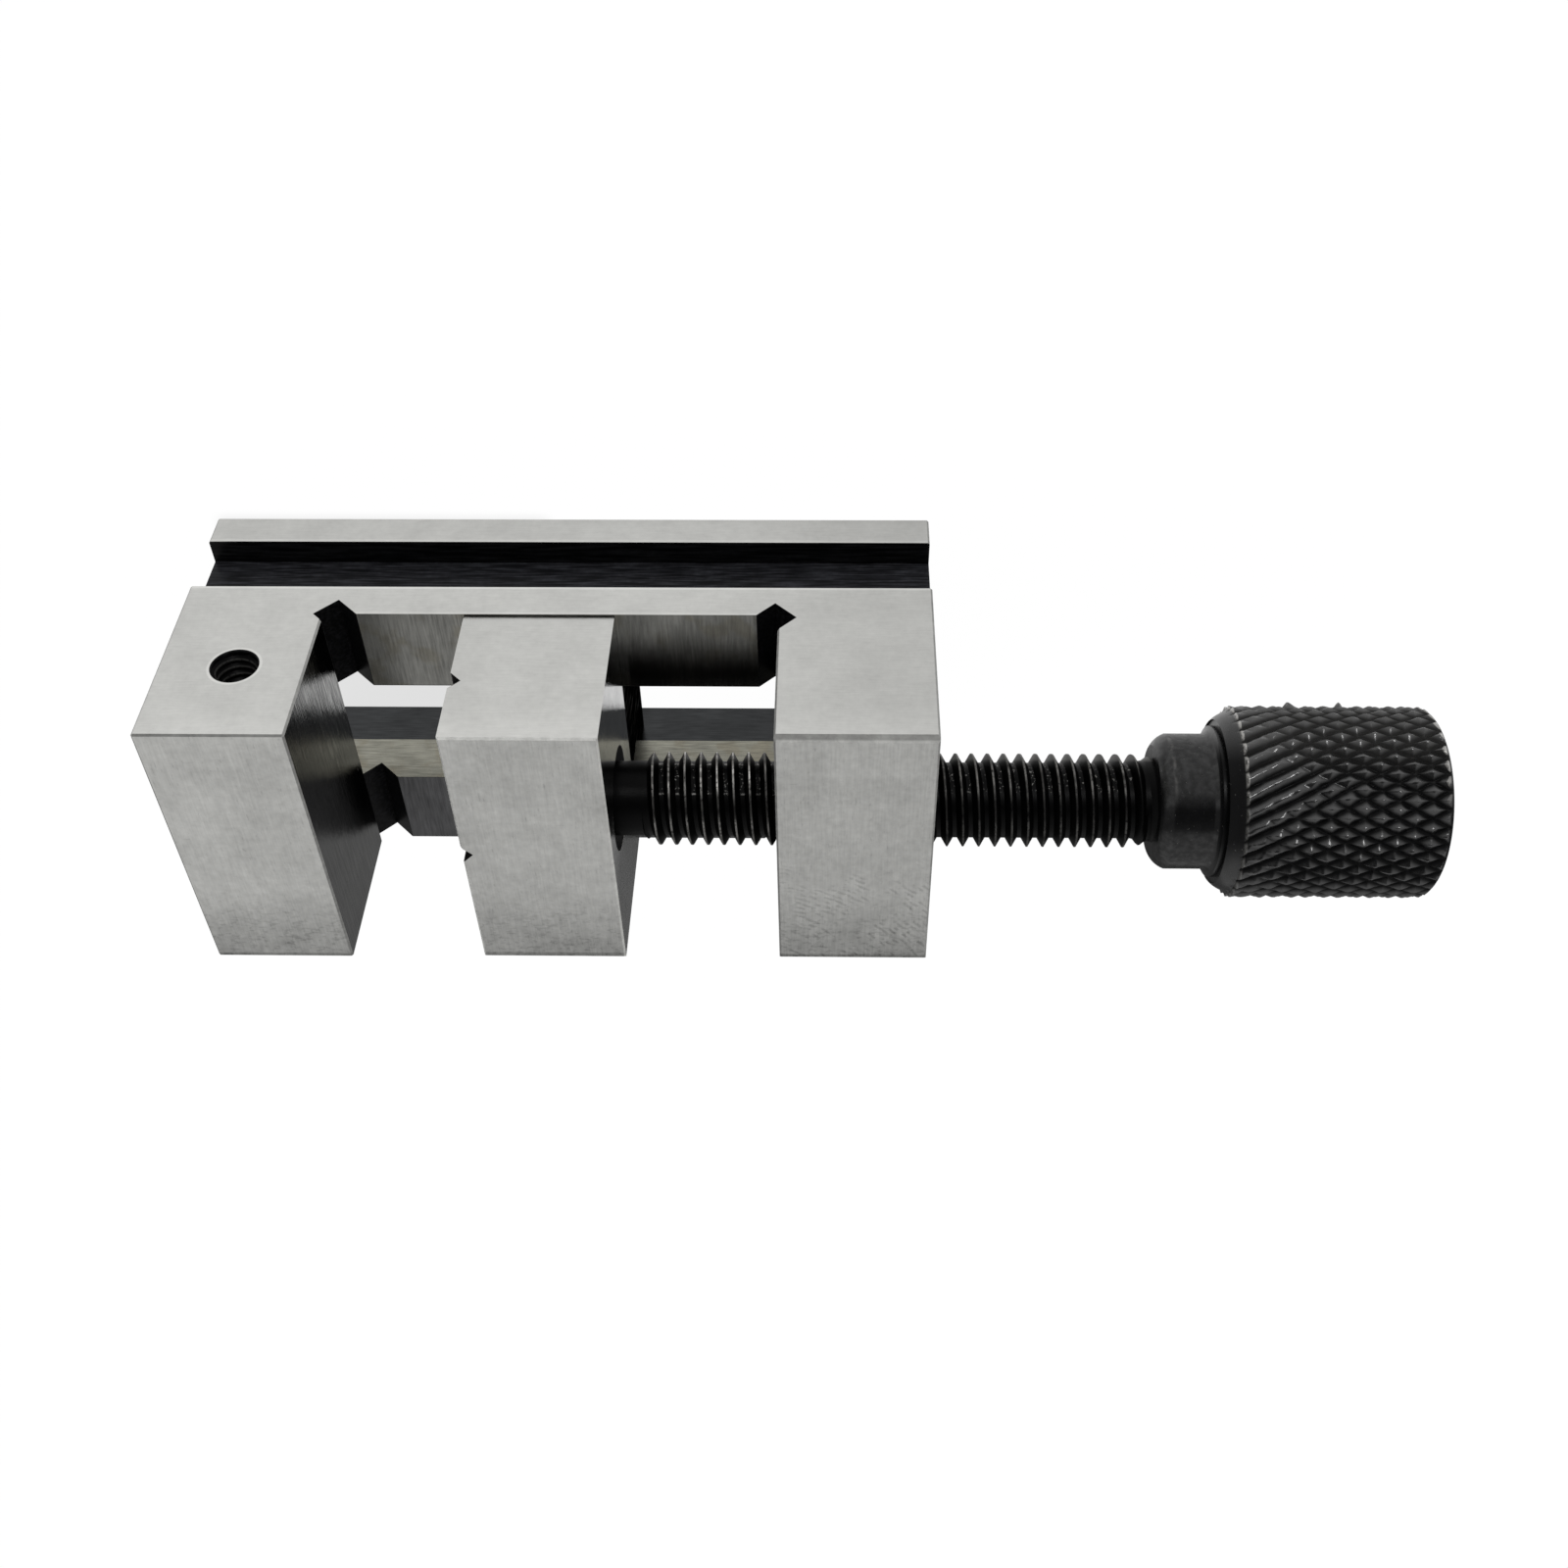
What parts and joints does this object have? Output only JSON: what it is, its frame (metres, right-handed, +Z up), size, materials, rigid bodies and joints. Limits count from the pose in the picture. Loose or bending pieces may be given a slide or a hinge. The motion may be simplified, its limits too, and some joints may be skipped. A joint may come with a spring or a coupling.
{
  "type": "machine vise",
  "caption": "Small ground-steel toolmaker's vise: a one-piece body with fixed jaw and end block, a sliding jaw on a T-slot keeper, and a knurled lead screw.",
  "frame": {"origin": "on the plane of the base's underside, at mid-width, half-way between the fixed jaw's outer end and the knob's end as the vise stands at rest", "axes": "+X from the fixed jaw towards the knob along the screw, +Y towards the side with the tapped hole, +Z up through the jaws"},
  "size_m": [0.0966, 0.0254, 0.0268],
  "materials": {
    "ground_steel": "surface-ground, light grey, fine directional marks",
    "keeper_steel": "milled, dark grey",
    "pin_steel": "ground",
    "blackened_steel": "black oxide, satin"
  },
  "bodies": {
    "base": {"vise_body": "ground_steel"},
    "slide": {"movable_jaw": "ground_steel", "keeper_block": "keeper_steel", "keeper_screw_front": "blackened_steel", "keeper_screw_rear": "blackened_steel", "retaining_pin_left": "pin_steel", "retaining_pin_right": "pin_steel"},
    "screw": {"lead_screw": "blackened_steel"}
  },
  "joints": [
    {"name": "jaw_slide", "type": "slide", "parent": "base", "child": "slide", "axis": [1, 0, 0], "range_m": [-0.0108, 0.0113]},
    {"name": "screw_turn", "type": "hinge", "parent": "slide", "child": "screw", "pos_m": [0, 0, 0.0193], "axis": [1, 0, 0], "range_deg": [-3112, 3256]}
  ],
  "couplings": [
    {"joint": "screw_turn", "follows": "jaw_slide", "rad_per_m": 5026.5}
  ]
}
